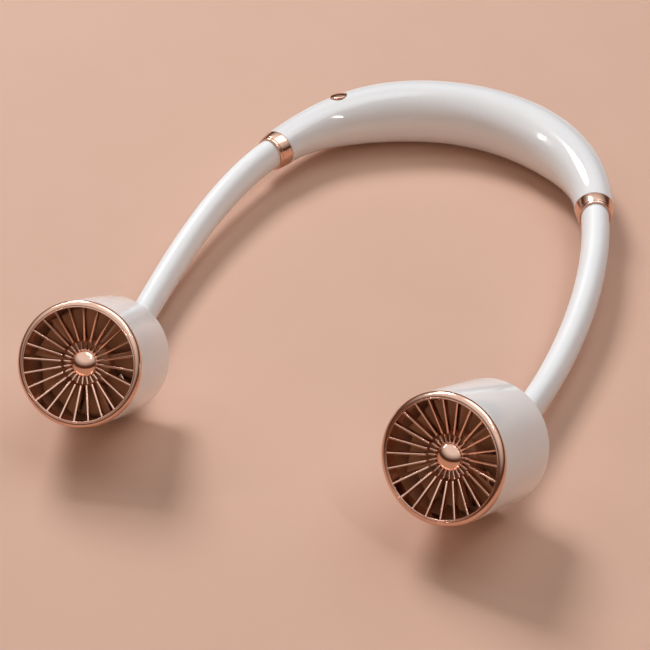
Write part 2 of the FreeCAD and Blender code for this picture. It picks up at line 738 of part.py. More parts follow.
def make_cover(name, place):
    body = new_body(name, place)
    bore = size.core_diameter / 2 + size.slip_gap
    cover_radius = duct_radius - size.slip_gap
    boss_inner = bore + size.cover_thickness
    turn(body, ((bore, -size.boss_length), (size.boss_radius, -size.boss_length), (size.boss_radius, 0),
                (cover_radius, 0), (cover_radius, size.cover_thickness),
                (boss_inner, size.cover_thickness), (boss_inner, size.cover_thickness + size.boss_inside),
                (bore, size.cover_thickness + size.boss_inside)))
    sketch = new_sketch(body, "XY_Plane", size.cover_thickness)
    half = size.slot_width / 2
    add_polygon(sketch, ((size.slot_start, -half), (size.slot_end, -half), (size.slot_end, half),
                         (size.slot_start, half)))
    slot = extrude(body, "Pocket", sketch, size.cover_thickness + size.overrun)
    repeat(body, [slot], size.slot_count)
    sketch = new_sketch(body, "XY_Plane", size.cover_thickness)
    add_circle(sketch, post_ring, 0, size.cover_screw_radius + size.slip_gap)
    hole = extrude(body, "Pocket", sketch, size.cover_thickness + size.overrun)
    sketch = new_sketch(body, "XY_Plane", size.cover_screw_height)
    add_circle(sketch, post_ring, 0, size.cover_screw_head + size.slip_gap)
    seat = extrude(body, "Pocket", sketch, size.cover_screw_height + size.overrun)
    repeat(body, [hole, seat], size.cover_screw_count)


def make_cover_screws(name, place):
    ring = float(post_ring)
    found = []
    count = int(float(size.cover_screw_count))
    for i in range(count):
        angle = 2 * math.pi * i / count
        foot = Vector(ring * math.cos(angle), ring * math.sin(angle), 0)
        head = rod(foot, UP, float(size.cover_screw_head), float(size.cover_screw_height))
        shank = rod(foot, UP, float(size.cover_screw_radius),
                    float(size.cover_thickness) + float(cover_grip))
        found.append(head.fuse(shank).removeSplitter())
    feature_of(name, Part.makeCompound(found)).Placement = place


def make_grille(name, place):
    body = new_body(name, place)
    skirt = duct_radius - size.slip_gap
    turn(body, ((rim_inner, drum_front - size.rim_skirt), (skirt, drum_front - size.rim_skirt),
                (skirt, drum_front), (head_radius_size, drum_front),
                (head_radius_size, size.head_depth), (rim_inner, size.head_depth)))
    round_edge(body, size.rim_round - size.slip_gap / 2, head_radius_size, size.head_depth)
    spoke_end = rim_inner + size.rim_lip
    outer_front = size.head_depth - size.spoke_drop
    sketch = new_sketch(body, "XZ_Plane")
    inner_end = size.hub_seat_radius - size.rim_lip
    step_foot = size.step_radius - size.step_width
    add_polygon(sketch, ((spoke_end, outer_front), (size.step_radius, size.head_depth - size.dish_depth),
                         (step_foot, spoke_low), (inner_end, spoke_low), (inner_end, grille_back),
                         (size.step_radius, grille_back), (spoke_end, outer_front - size.spoke_depth)))
    spoke = extrude(body, "Pad", sketch, size.spoke_thickness, symmetric=True)
    repeat(body, [spoke], size.spoke_count)
    pin = size.hub_pin_radius + size.slip_gap / 2
    turn(body, ((pin, grille_back), (size.hub_seat_radius, grille_back),
                (size.hub_seat_radius, spoke_low), (pin, spoke_low)))


def make_hub_cap(name, place):
    foot = float(spoke_low)
    radius = float(size.hub_cap_radius)
    straight = float(size.hub_cap_rim)
    rise = float(size.hub_cap_height) - straight
    dome = (radius ** 2 + rise ** 2) / (2 * rise)
    base = Vector(0, 0, foot)
    solid = rod(base, UP, radius, straight + rise)
    solid = solid.common(Part.makeSphere(dome, base + UP * (straight + rise - dome)))
    pin = float(size.hub_pin_length)
    solid = solid.fuse(rod(base - UP * pin, UP, float(size.hub_pin_radius), pin + straight))
    feature_of(name, solid.removeSplitter()).Placement = place


def make_impeller(name, place):
    body = new_body(name, place)
    bore_top = impeller_front - size.impeller_hub_wall
    turn(body, ((hub_inner, impeller_back), (hub_outer, impeller_back), (hub_outer, impeller_front),
                (0, impeller_front), (0, bore_top), (size.shaft_radius, bore_top),
                (size.shaft_radius, hub_hollow), (hub_inner, hub_hollow)))
    round_edge(body, size.impeller_nose, hub_outer, impeller_front)
    middle = impeller_front - size.impeller_length / 2
    half = size.blade_thickness / 2
    sections = []
    root = hub_outer - size.impeller_hub_wall / 2
    tip = duct_radius - size.blade_gap
    corner = size.blade_tip_run + half
    flat_tip = (tip * tip - corner * corner).root()
    for radius, run, rise in ((root, size.blade_root_run, size.blade_root_rise),
                              (flat_tip, size.blade_tip_run, size.blade_tip_rise)):
        sketch = new_sketch(body, "YZ_Plane", radius)
        add_polygon(sketch, ((-run - half, middle - rise), (half - run, middle - rise),
                             (run + half, middle + rise), (run - half, middle + rise)))
        sections.append(sketch)
    blade = add_feature(body, "AdditiveLoft", sections[0])
    blade.Sections = sections[1:]
    blade.Ruled = True
    doc.recompute()
    repeat(body, [blade], size.blade_count)


def make_motor(side_name, place):
    bush = size.shaft_radius + size.bush_wall
    body = new_body(side_name + "_motor_can", place)
    turn(body, ((can_inner, motor_back), (size.motor_radius, motor_back),
                (size.motor_radius, motor_front), (bush, motor_front),
                (bush, motor_front - size.motor_wall), (can_inner, motor_front - size.motor_wall)))
    round_edge(body, size.motor_wall / 2, size.motor_radius, motor_front)
    cap_top = motor_back + size.end_cap_thickness
    cap_radius = can_inner - size.slip_gap / 2
    body = new_body(side_name + "_motor_end_cap", place)
    turn(body, ((0, motor_back), (cap_radius, motor_back), (cap_radius, cap_top), (bush, cap_top),
                (bush, cap_top - size.bush_length), (0, cap_top - size.bush_length)))
    bush_bore = size.shaft_radius + size.running_gap
    for label, low in (("_front_bush", motor_front - size.bush_length),
                       ("_rear_bush", cap_top - size.bush_length)):
        body = new_body(side_name + label, place)
        turn(body, ((bush_bore, low), (bush, low), (bush, low + size.bush_length),
                    (bush_bore, low + size.bush_length)))
    low = cap_top + size.armature_end_gap
    high = motor_front - size.motor_wall - size.armature_end_gap
    magnet_inner = can_inner - size.magnet_thickness
    body = new_body(side_name + "_motor_magnet", place)
    turn(body, ((magnet_inner, low), (can_inner, low), (can_inner, high), (magnet_inner, high)))
    armature = magnet_inner - size.air_gap
    body = new_body(side_name + "_motor_armature", place)
    turn(body, ((size.shaft_radius, low), (armature, low), (armature, high), (size.shaft_radius, high)))
    body = new_body(side_name + "_motor_shaft", place)
    foot = cap_top - size.bush_length + size.air_gap
    top = impeller_front - size.impeller_hub_wall
    turn(body, ((0, foot), (size.shaft_radius, foot), (size.shaft_radius, top), (0, top)))


def make_mount(name, place):
    body = new_body(name, place)
    ring_inner = size.motor_radius + size.slip_gap / 2
    ring_outer = ring_inner + size.mount_wall
    rim_outer = duct_radius - size.slip_gap / 2
    turn(body, ((ring_inner, mount_back), (ring_outer, mount_back), (ring_outer, mount_front),
                (ring_inner, mount_front)))
    sketch = new_sketch(body, "XZ_Plane")
    start = ring_outer - size.mount_wall / 2
    end = rim_outer - size.mount_wall / 2
    add_polygon(sketch, ((start, mount_back), (end, mount_back), (end, mount_front), (start, mount_front)))
    vane = extrude(body, "Pad", sketch, size.vane_thickness, symmetric=True)
    repeat(body, [vane], size.vane_count)
    turn(body, ((rim_outer - size.mount_wall, mount_back), (rim_outer, mount_back),
                (rim_outer, mount_front), (rim_outer - size.mount_wall, mount_front)))


SIDES = (
    ("left", -1, size.left_tilt_angle, size.left_toe_angle, size.left_root_handle, size.left_tip_handle),
    ("right", 1, size.right_tilt_angle, size.right_toe_angle, size.right_root_handle, size.right_tip_handle),
)
for side_name, side, tilt, toe, root_handle, tip_handle in SIDES:
    axis = head_axis(side, tilt, toe)
    place = head_placement(side, axis)
    spot, tangent, radial = band_frame(side * half_angle)
    heading = tangent * side
    make_collar(side_name + "_collar", spot, heading)
    make_arm(side_name, spot, heading, place, axis, root_handle, tip_handle)
    make_drum(side_name + "_drum_shell", place)
    make_cover(side_name + "_rear_cover", place)
    make_cover_screws(side_name + "_cover_screws", place)
    make_grille(side_name + "_front_grille", place)
    make_hub_cap(side_name + "_hub_cap", place)
    make_impeller(side_name + "_impeller", place)
    make_motor(side_name, place)
    make_mount(side_name + "_motor_mount", place)

# Nothing is written unless every sub-part is sound.
doc.recompute()
faults = [item.Name for item in doc.Objects if "Invalid" in item.State or "Error" in item.State]
for part in parts:
    if part.Shape.isNull() or not part.Shape.isValid() or part.Shape.Volume <= 0:
        faults.append(part.Label)
if faults:
    raise RuntimeError("not sound: " + ", ".join(faults))
os.makedirs("parts", exist_ok=True)
for part in parts:
    part.Shape.exportStep(f"parts/{part.Label}.step")
    print(part.Label, len(part.Shape.Solids), round(part.Shape.Volume))
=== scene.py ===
# %% [markdown]
# # An electric neck fan, dressed in Blender
# The fan hangs round the neck: a thick white band holds the battery, two bendable arms come forward
# from it, and each arm carries a small drum with a fan behind a rose-gold grille. The solids come from
# the CAD model and stay where they are. This lesson gives them skins, edges, finishes and light.

# %% Load the CAD model
import json
import math

import bmesh
import bpy
from mathutils import Matrix, Vector


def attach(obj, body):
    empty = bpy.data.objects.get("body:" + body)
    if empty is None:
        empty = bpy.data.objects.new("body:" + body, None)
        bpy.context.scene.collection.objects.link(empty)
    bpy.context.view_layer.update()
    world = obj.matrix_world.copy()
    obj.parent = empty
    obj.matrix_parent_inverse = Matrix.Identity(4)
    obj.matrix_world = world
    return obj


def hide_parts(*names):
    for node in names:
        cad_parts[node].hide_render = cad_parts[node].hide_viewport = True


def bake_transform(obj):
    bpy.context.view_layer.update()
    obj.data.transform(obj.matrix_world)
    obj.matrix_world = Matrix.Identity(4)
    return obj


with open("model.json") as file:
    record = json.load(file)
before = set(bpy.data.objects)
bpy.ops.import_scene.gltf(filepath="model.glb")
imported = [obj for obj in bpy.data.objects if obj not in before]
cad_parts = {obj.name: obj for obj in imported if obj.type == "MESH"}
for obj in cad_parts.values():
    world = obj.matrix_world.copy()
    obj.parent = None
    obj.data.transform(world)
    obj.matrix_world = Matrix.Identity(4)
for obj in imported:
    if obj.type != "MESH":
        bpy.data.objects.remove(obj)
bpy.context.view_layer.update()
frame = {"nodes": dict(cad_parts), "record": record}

nodes = frame["nodes"]

# %% [markdown]
# ## The camera
# The picture looks down on the fan from its front right, through a long lens. The place, the turn and
# the lens were worked out from the rims of the two drums and the edges of the band. A camera could be
# aimed by hand, but three directions written as the columns of a matrix give the same view each time.

# %% Camera
VIEW_AZIMUTH = math.radians(22.144)
VIEW_ELEVATION = math.radians(38.576)
VIEW_ROLL = math.radians(-1.708)
VIEW_SPOT = (0.2112, -0.58333, 0.47802)
LENS = 97.42
SENSOR_WIDTH = 36

level = math.cos(VIEW_ELEVATION)
view_back = Vector((math.sin(VIEW_AZIMUTH) * level, -math.cos(VIEW_AZIMUTH) * level,
                    math.sin(VIEW_ELEVATION)))
view_right = Vector((math.cos(VIEW_AZIMUTH), math.sin(VIEW_AZIMUTH), 0))
view_turn = Matrix((view_right, view_back.cross(view_right), view_back)).transposed().to_4x4()
camera = bpy.data.objects.new("camera", bpy.data.cameras.new("camera"))
camera.data.sensor_width = SENSOR_WIDTH
camera.data.lens = LENS
camera.matrix_world = Matrix.Translation(VIEW_SPOT) @ view_turn @ Matrix.Rotation(VIEW_ROLL, 4, "Z")
bpy.context.scene.collection.objects.link(camera)
bpy.context.scene.camera = camera
print("camera at", VIEW_SPOT, "lens", LENS)

# %% [markdown]
# ## Tools for finishes
# Every finish here is a tree of nodes, so it needs no picture files and holds at any distance. Hex
# colours are written as a screen shows them, but shaders count in linear light, so one function turns
# the one into the other. A second one adds a node, sets its fields, fills its inputs and hands back its
# first output, ready to be linked on.

# %% Colour and node helpers
MM = 0.001
RELIEF_DEPTH = MM / 10


def linear(hex_colour):
    """An sRGB hex colour as linear red, green, blue and alpha."""
    channels = [int(hex_colour[i:i + 2], 16) / 255 for i in (1, 3, 5)]
    return tuple(c / 12.92 if c <= 0.04045 else ((c + 0.055) / 1.055) ** 2.4 for c in channels) + (1,)


def fill_inputs(tree, node, inputs):
    """An input is a number or a colour to set, or the output of another node to link."""
    for name, value in inputs.items():
        socket = next(found for found in node.inputs if found.enabled and found.name == name)
        if isinstance(value, bpy.types.NodeSocket):
            tree.links.new(value, socket)
        else:
            socket.default_value = value


def add_node(tree, kind, inputs, **settings):
    """Adds a node and returns its first output."""
    node = tree.nodes.new(kind)
    for field, value in settings.items():
        setattr(node, field, value)
    fill_inputs(tree, node, inputs)
    return next(socket for socket in node.outputs if socket.enabled)


def new_finish(name, constants):
    """A material with constant values on its shader, and its tree, shader and object coordinates."""
    material = bpy.data.materials.new(name)
    material.use_nodes = True
    tree = material.node_tree
    shader = tree.nodes["Principled BSDF"]
    fill_inputs(tree, shader, constants)
    place = tree.nodes.new("ShaderNodeTexCoord").outputs["Object"]
    return material, tree, shader, place


def per_mm(millimetres):
    """The scale of a texture whose pattern repeats about once in that many millimetres."""
    return 1000 / millimetres


print("mid grey as linear light:", linear("#808080"))

# %% [markdown]
# ## White plastic
# The band and the drums are moulded from glossy ABS. A polished mould gives a sharp gloss with a faint
# ripple, like orange peel, and slow changes of gloss where the plastic cooled unevenly. The ripple is
# about a millimetre wide and the slow changes a few centimetres, so they are two noises.

# %% Glossy ABS
gloss_abs, tree, shader, place = new_finish("moulded_gloss_abs", {"IOR": 1.54, "Coat Weight": 0.25,
                                                                  "Coat Roughness": 0.05})
cooling = add_node(tree, "ShaderNodeTexNoise", {"Vector": place, "Scale": per_mm(30), "Detail": 2})
tint = add_node(tree, "ShaderNodeMix",
                {"Factor": cooling, "A": linear("#F0EFEE"), "B": linear("#F6F5F4")}, data_type="RGBA")
gloss = add_node(tree, "ShaderNodeMapRange", {"Value": cooling, "To Min": 0.07, "To Max": 0.12})
ripple = add_node(tree, "ShaderNodeTexNoise", {"Vector": place, "Scale": per_mm(1.2), "Detail": 1})
bump = add_node(tree, "ShaderNodeBump", {"Height": ripple, "Strength": 0.02, "Distance": RELIEF_DEPTH})
fill_inputs(tree, shader, {"Base Color": tint, "Roughness": gloss, "Normal": bump})
print("made", gloss_abs.name)

# %% [markdown]
# ## The skin of the arms
# Each arm is a steel gooseneck in a tube of white silicone. Silicone is softer to the eye than ABS: its
# highlights are wider, and it holds a fine dust that makes it paler at grazing angles, as sheen does.

# %% Satin silicone
silicone, tree, shader, place = new_finish("satin_white_silicone", {"IOR": 1.42, "Sheen Weight": 0.06,
                                                                    "Sheen Roughness": 0.4})
mottle = add_node(tree, "ShaderNodeTexNoise", {"Vector": place, "Scale": per_mm(12), "Detail": 3})
tint = add_node(tree, "ShaderNodeMix",
                {"Factor": mottle, "A": linear("#F6F6F5"), "B": linear("#FAFAF9")}, data_type="RGBA")
gloss = add_node(tree, "ShaderNodeMapRange", {"Value": mottle, "To Min": 0.3, "To Max": 0.42})
grain = add_node(tree, "ShaderNodeTexNoise", {"Vector": place, "Scale": per_mm(0.6), "Detail": 2})
bump = add_node(tree, "ShaderNodeBump", {"Height": grain, "Strength": 0.04, "Distance": RELIEF_DEPTH})
fill_inputs(tree, shader, {"Base Color": tint, "Roughness": gloss, "Normal": bump})
print("made", silicone.name)

# %% [markdown]
# ## Rose gold
# The rims, spokes, domes, collars and the button are plastic with a vacuum-plated skin of rose gold. It
# is a mirror, so nearly all that shows in it is the room, tinted by its own colour. Handling and polish
# leave the mirror a little duller in places, in smudges of some millimetres.

# %% Rose-gold plating
rose_gold, tree, shader, place = new_finish("polished_rose_gold_plate", {"Metallic": 1})
smudge = add_node(tree, "ShaderNodeTexNoise", {"Vector": place, "Scale": per_mm(6), "Detail": 4})
tint = add_node(tree, "ShaderNodeMix",
                {"Factor": smudge, "A": linear("#DEB19A"), "B": linear("#E9C3B0")}, data_type="RGBA")
gloss = add_node(tree, "ShaderNodeMapRange", {"Value": smudge, "To Min": 0.08, "To Max": 0.2})
fill_inputs(tree, shader, {"Base Color": tint, "Roughness": gloss})
print("made", rose_gold.name)

# %% [markdown]
# ## The brown inside
# Behind the spokes all is brown ABS: the fan wheel, the frame of the motor and the inside of the drum.
# Such moulds are not polished, so the plastic is satin, with a spark-eroded grain of a quarter of a
# millimetre, drawn here at half a millimetre so that it shows.

# %% Brown ABS
brown_abs, tree, shader, place = new_finish("satin_brown_abs", {"IOR": 1.54})
cloud = add_node(tree, "ShaderNodeTexNoise", {"Vector": place, "Scale": per_mm(9), "Detail": 3})
tint = add_node(tree, "ShaderNodeMix",
                {"Factor": cloud, "A": linear("#B4805F"), "B": linear("#C89674")}, data_type="RGBA")
gloss = add_node(tree, "ShaderNodeMapRange", {"Value": cloud, "To Min": 0.32, "To Max": 0.45})
grain = add_node(tree, "ShaderNodeTexNoise", {"Vector": place, "Scale": per_mm(0.5), "Detail": 1})
bump = add_node(tree, "ShaderNodeBump", {"Height": grain, "Strength": 0.06, "Distance": RELIEF_DEPTH})
fill_inputs(tree, shader, {"Base Color": tint, "Roughness": gloss, "Normal": bump})
print("made", brown_abs.name)

# %% [markdown]
# ## Finishes inside the fan
# Screws, motor, battery, board and wires hardly show, but the part can be opened or cut, so each has the
# finish of its real material: turned steel, PVC insulation, shrink wrap, solder mask, sintered bronze,
# ferrite, copper winding and black nylon. They differ in colour, gloss and the size of their grain, so
# a table and one loop make them.

# %% Hidden finishes
HIDDEN_FINISHES = (
    ("turned_steel", "steel", "#A5A5A6", "#C6C5C3", 1, 0.2, 0.34, 0.8, 0.03),
    ("extruded_pvc_insulation", "wire", "#8E1F1C", "#A52A26", 0, 0.35, 0.5, 4, 0.02),
    ("pvc_shrink_wrap", "cell_wrap", "#1F5E4C", "#2B7460", 0, 0.22, 0.36, 7, 0.1),
    ("green_solder_mask", "board", "#17452B", "#2A6B43", 0, 0.25, 0.45, 1.5, 0.08),
    ("black_nylon", "black", "#17171A", "#26262A", 0, 0.4, 0.6, 0.7, 0.08),
    ("sintered_bronze", "bronze", "#8F6A3C", "#B48A52", 1, 0.4, 0.6, 0.3, 0.1),
    ("ground_ferrite", "magnet", "#2B2B2D", "#46464A", 0, 0.5, 0.7, 0.4, 0.1),
    ("enamelled_copper_winding", "copper", "#A3542B", "#C9723F", 1, 0.25, 0.4, 0.5, 0.15),
)
finishes = {"white": gloss_abs, "white_skin": silicone, "rose_gold": rose_gold, "brown": brown_abs}
for name, slot, dark, light, metallic, sharpest, dullest, grain_mm, relief in HIDDEN_FINISHES:
    finish, tree, shader, place = new_finish(name, {"Metallic": metallic})
    grain = add_node(tree, "ShaderNodeTexNoise", {"Vector": place, "Scale": per_mm(grain_mm), "Detail": 3})
    tint = add_node(tree, "ShaderNodeMix", {"Factor": grain, "A": linear(dark), "B": linear(light)},
                    data_type="RGBA")
    gloss = add_node(tree, "ShaderNodeMapRange", {"Value": grain, "To Min": sharpest, "To Max": dullest})
    bump = add_node(tree, "ShaderNodeBump", {"Height": grain, "Strength": relief, "Distance": RELIEF_DEPTH})
    fill_inputs(tree, shader, {"Base Color": tint, "Roughness": gloss, "Normal": bump})
    finishes[slot] = finish
print("finishes:", sorted(finishes))

# %% [markdown]
# ## Finishes on the CAD nodes
# A CAD node whose shape is right keeps its mesh and only gets a better material. The record says which
# slot each node belongs to, so one loop dresses them all. Nodes that are replaced further on are hidden.

# %% Dress the CAD nodes
for row in frame["record"]["subparts"]:
    node_mesh = nodes[row["node"]].data
    node_mesh.materials.clear()
    node_mesh.materials.append(finishes[row["material_slot"]])
print("dressed", len(nodes), "nodes")

# %% [markdown]
# ## Tools for meshes
# Most pieces here are turned, like a pot on a wheel, or pulled along a path, like a hose. Turning is one
# spin of an outline of a few corners, and a domed top starts with a spin of one vertex round the middle
# of its ball. A hose is a circle that is extruded from place to place on its path, and each time the new
# ring is moved, turned and stretched into its oval. The lists of corners and edges keep the order that
# the operators give them, so each run makes the same mesh.

# %% Mesh helpers
ROUND_STEPS = 8
DOME_STEPS = 14
SAME_SPOT = MM / 1000
SHARP_DEGREES = 40


def make_piece(name, bm, slot, sharp_degrees=SHARP_DEGREES):
    """Writes a bmesh into an object at the origin, smooth except at its sharp edges."""
    mesh = bpy.data.meshes.new(name)
    bm.to_mesh(mesh)
    bm.free()
    mesh.shade_smooth()
    mesh.set_sharp_from_angle(angle=math.radians(sharp_degrees))
    mesh.materials.append(finishes[slot])
    piece = bpy.data.objects.new(name, mesh)
    bpy.context.scene.collection.objects.link(piece)
    print(name, len(mesh.polygons), "faces")
    return piece


def add_shape(bm, shape):
    """Copies another bmesh into this one and frees it."""
    mesh = bpy.data.meshes.new("shape")
    shape.to_mesh(mesh)
    shape.free()
    bm.from_mesh(mesh)
    bpy.data.meshes.remove(mesh)


def turned(outline, steps, rounds, dome_rise=0):
    """Spins (radius, height) corners in millimetres round Z. Rounds are (corner, radius). With a dome
    rise, a dome stands on the first corner and the outline runs to the axis."""
    bm = bmesh.new()
    corners = [bm.verts.new((radius * MM, 0, height * MM)) for radius, height in outline]
    for here, after in zip(corners, corners[1:]):
        bm.edges.new((here, after))
    if dome_rise:
        edge_radius, edge_height = outline[0]
        ball = (edge_radius ** 2 + dome_rise ** 2) / (2 * dome_rise)
        middle = edge_height + dome_rise - ball
        bmesh.ops.spin(bm, geom=[corners[0]], cent=(0, 0, middle * MM), axis=(0, 1, 0),
                       angle=-math.asin(edge_radius / ball), steps=DOME_STEPS)
    else:
        bm.edges.new((corners[-1], corners[0]))
    for corner, radius in rounds:
        bmesh.ops.bevel(bm, geom=[corners[corner]], offset=radius * MM, offset_type="OFFSET",
                        segments=ROUND_STEPS, profile=0.5, affect="VERTICES", material=-1)
    bmesh.ops.spin(bm, geom=bm.verts[:] + bm.edges[:], axis=(0, 0, 1), angle=2 * math.pi, steps=steps,
                   use_merge=True)
    bmesh.ops.remove_doubles(bm, verts=bm.verts, dist=SAME_SPOT)
    bmesh.ops.recalc_face_normals(bm, faces=bm.faces)
    return bm


def oval(spot, across, up, half_width, half_height):
    """The matrix that turns a unit circle into an oval at a spot. All lengths are in millimetres."""
    turn = Matrix((across, up, across.cross(up))).transposed().to_4x4()
    stretch = Matrix.Diagonal((half_width * MM, half_height * MM, MM, 1))
    return Matrix.Translation(spot * MM) @ turn @ stretch


def pulled(bm, ovals, sides):
    """Extrudes a circle from oval to oval, and returns the edges of each ring."""
    ring = bmesh.ops.create_circle(bm, radius=1, segments=sides, matrix=ovals[0])["verts"]
    rings = [list(dict.fromkeys(edge for corner in ring for edge in corner.link_edges))]
    for before, after in zip(ovals, ovals[1:]):
        made = bmesh.ops.extrude_edge_only(bm, edges=rings[-1])["geom"]
        ring = [item for item in made if isinstance(item, bmesh.types.BMVert)]
        fresh = set(ring)
        rings.append([item for item in made if isinstance(item, bmesh.types.BMEdge)
                      and fresh.issuperset(item.verts)])
        bmesh.ops.transform(bm, matrix=after @ before.inverted(), verts=ring)
    return rings


print("helpers for turned and pulled pieces are ready")

# %% [markdown]
# ## Where the arms and heads are
# The arms start at the ends of the band and bend down to the drums. The numbers are those of the CAD
# model, in millimetres. A Bezier curve with two handles gives each arm its bend: the first handle keeps
# the direction of the band's end, and the second one that of the drum's axis.

# %% Places of the band, the arms and the heads
LENGTH = 296.0
BAND_ARC = 81.5
BAND_HALF_ANGLE = 73.0
BAND_MID_RADIUS = 15.4
BAND_HEIGHT = 15.0
COLLAR_LENGTH = 7.0
HEAD_SPACING = 161.6
HEAD_RADIUS = 25.0
HEAD_DEPTH = 43.0
HEAD_EDGE = 1.5
RIM_ROUND = 2.5
BOSS_LENGTH = 3.0
UP = Vector((0, 0, 1))
BAND_CENTRE = Vector((0, LENGTH / 2 - BAND_MID_RADIUS - BAND_ARC, BAND_HEIGHT))
SIDES = {"left": {"side": -1, "tilt": 34.5, "toe": 9.4, "root_handle": 61.0, "tip_handle": 28.0},
         "right": {"side": 1, "tilt": 28.6, "toe": 12.3, "root_handle": 68.0, "tip_handle": 36.0}}


def band_spot(degrees):
    """A spot on the band's centre line with the directions along and outwards."""
    angle = math.radians(degrees)
    outward = Vector((math.sin(angle), math.cos(angle), 0))
    along = Vector((math.cos(angle), -math.sin(angle), 0))
    return BAND_CENTRE + outward * BAND_ARC, along, outward


def head_place(side, tilt, toe):
    """The matrix of a head, in metres: its origin is the middle of its back, and Z is its axis."""
    tilt, toe = math.radians(tilt), math.radians(toe)
    axis = Vector((-side * math.sin(toe) * math.cos(tilt), -math.cos(toe) * math.cos(tilt), math.sin(tilt)))
    height = (HEAD_RADIUS - HEAD_EDGE) * math.cos(tilt) + HEAD_EDGE - HEAD_EDGE * axis.z
    front = (HEAD_RADIUS - RIM_ROUND) * math.sqrt(1 - axis.y ** 2) + RIM_ROUND
    back = Vector((side * HEAD_SPACING / 2, front - LENGTH / 2 - (HEAD_DEPTH - RIM_ROUND) * axis.y, height))
    across = UP.cross(axis).normalized()
    turn = Matrix((across, axis.cross(across), axis)).transposed().to_4x4()
    return Matrix.Translation(back * MM) @ turn


def arm_stops(count, before, after, side, tilt, toe, root_handle, tip_handle):
    """Stops along an arm as (share, spot, across, up), with straight runs before and after it."""
    end_spot, along = band_spot(side * BAND_HALF_ANGLE)[:2]
    heading = along * side
    start = end_spot + heading * COLLAR_LENGTH
    head = head_place(side, tilt, toe)
    axis = head.col[2].to_3d()
    end = head.translation / MM - axis * BOSS_LENGTH
    poles = (start, start + heading * root_handle, end - axis * tip_handle, end)
    rows = [(0.0, start - heading * run, heading) for run in before]
    for i in range(count + 1):
        t = i / count
        s = 1 - t
        spot = poles[0] * s ** 3 + poles[1] * 3 * s * s * t + poles[2] * 3 * s * t * t + poles[3] * t ** 3
        slope = ((poles[1] - poles[0]) * s * s + (poles[2] - poles[1]) * 2 * s * t
                 + (poles[3] - poles[2]) * t * t)
        rows.append((t, spot, slope.normalized()))
    rows += [(1.0, end + axis * run, axis) for run in after]
    stops = []
    for t, spot, slope in rows:
        across = slope.cross(UP).normalized()
        stops.append((t, spot, across, across.cross(slope)))
    return stops


heads = {name: head_place(facts["side"], facts["tilt"], facts["toe"]) for name, facts in SIDES.items()}

# %% [markdown]
# ## The arms
# An arm is bent by hand near the band and again near the head, so a stiff tube would break away from one
# of its ends. Each tube is made in two halves, cut in the middle of the arm: a rear half from the band to
# the cut and a front half from the cut to the head. The silicone is hollow, so an outer and an inner hose
# are pulled and bridged at their ends.

# %% Silicone sleeves
ARM_STOPS = 72
ARM_CUT = 0.5
SLEEVE_ROOT = (6.3, 7.6)
SLEEVE_TIP = (4.9, 5.8)
SLEEVE_RECESS = 3.0
SLEEVE_BORE = 3.1
SLEEVE_SIDES = 56


def arm_tube(name, part, node, slot, stops, outer, bore, sides):
    """A tube along an arm in two halves. outer gives an oval's half width and height at a stop."""
    arm = arm_stops(ARM_STOPS, (), (), **SIDES[name])
    for half in ("rear", "front"):
        kept = [(i, stop) for i, stop in enumerate(stops)
                if (stop[0] <= ARM_CUT if half == "rear" else stop[0] >= ARM_CUT)]
        bm = bmesh.new()
        skin = pulled(bm, [oval(*stop[1:], *outer(i, stop[0])) for i, stop in kept], sides)
        hole = pulled(bm, [oval(*stop[1:], bore, bore) for i, stop in kept], sides)
        bmesh.ops.bridge_loops(bm, edges=skin[0] + hole[0])
        bmesh.ops.bridge_loops(bm, edges=skin[-1] + hole[-1])
        bmesh.ops.recalc_face_normals(bm, faces=bm.faces)
        piece = make_piece(f"{name}_{part}_{half}", bm, slot)
        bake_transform(piece)
        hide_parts(node)


def sleeve_oval(i, share):
    """The sleeve gets thinner from the band to the head."""
    return [root + (tip - root) * share for root, tip in zip(SLEEVE_ROOT, SLEEVE_TIP)]


for name, facts in SIDES.items():
    arm_tube(name, "sleeve", name + "_arm_sleeve", "white_skin",
             arm_stops(ARM_STOPS, (SLEEVE_RECESS,), (), **facts), sleeve_oval, SLEEVE_BORE, SLEEVE_SIDES)

# %% [markdown]
# ## Inside the arms
# The gooseneck is a wound steel hose that stays as it is bent, and the motor's lead runs in it. They are
# hidden in the silicone and follow its path, in two halves like it. Every other ring of the hose is
# narrower, which makes its ribs.

# %% Gooseneck cores and motor leads
CORE_STOPS = 144
CORE_RADIUS = 3.0
CORE_RIB = 0.2
CORE_BORE = 2.0
CORE_SIDES = 24
CORE_INSERT = 6.0
LEAD_RADIUS = 1.1
LEAD_BORE = 0.5
LEAD_TAIL = 1.0
LEAD_REACH = 15.4


def core_oval(i, share):
    """Every other ring is narrower by a rib."""
    return [CORE_RADIUS - CORE_RIB * (i % 2)] * 2


def lead_oval(i, share):
    """The lead is round and even."""
    return [LEAD_RADIUS] * 2


for name, facts in SIDES.items():
    back = COLLAR_LENGTH + CORE_INSERT
    arm_tube(name, "gooseneck", name + "_arm_core", "steel",
             arm_stops(CORE_STOPS, (back, back / 2), (CORE_INSERT / 2, CORE_INSERT), **facts),
             core_oval, CORE_BORE, CORE_SIDES)
    back += LEAD_TAIL
    arm_tube(name, "lead", name + "_motor_lead", "wire",
             arm_stops(ARM_STOPS, (back, back / 2), (LEAD_REACH / 2, LEAD_REACH), **facts),
             lead_oval, LEAD_BORE, CORE_SIDES)

# %% [markdown]
# ## The collars
# A polished collar closes each end of the band and holds the arm. It is round at the band and oval at the
# arm, and a plug behind it sits in the band. One hose of rings runs out along the outside, back through
# the pocket and the bore and round to its start, and bevels on five of its rings round the edges. A row
# of the rings is the run towards the arm, the half width and the half height.

